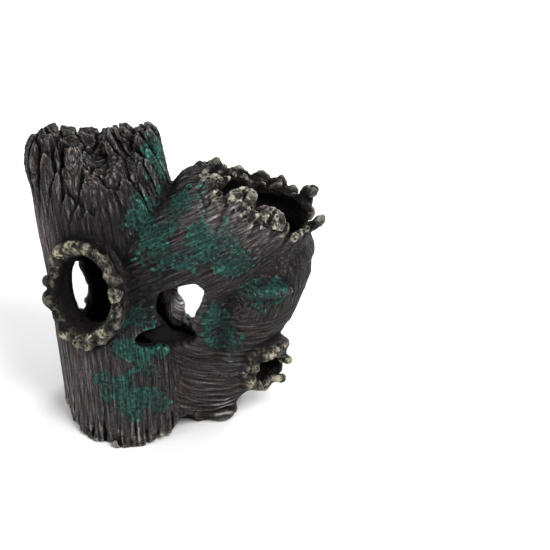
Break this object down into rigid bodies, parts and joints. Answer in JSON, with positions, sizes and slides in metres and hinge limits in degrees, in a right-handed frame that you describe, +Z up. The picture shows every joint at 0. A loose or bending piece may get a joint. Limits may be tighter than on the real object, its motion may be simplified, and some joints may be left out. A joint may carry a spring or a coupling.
{
  "type": "aquarium cave ornament",
  "caption": "Hollow driftwood-stump cave: a broken trunk, a hollow leaning log and a flared root, with lumpy knot holes and windows for fish to swim through.",
  "frame": {"origin": "middle of the outline, on the floor that the ornament stands on", "axes": "+X towards the log's open mouth, +Y from the front knot hole towards the back, +Z up"},
  "size_m": [0.1322, 0.0816, 0.1393],
  "materials": {
    "bark_casting": "matte cast resin, hand-painted dark bark brown with grey dry-brushing and teal moss patches",
    "rim_casting": "matte cast resin, dark brown with cream and grey dry-brushed lumps"
  },
  "bodies": {
    "root": {"root_base": "bark_casting", "upright_trunk": "bark_casting", "leaning_log": "bark_casting", "front_knot_rim": "rim_casting", "rear_knot_rim": "rim_casting", "rear_window_rim": "rim_casting", "root_stub_rim": "rim_casting"}
  },
  "joints": []
}
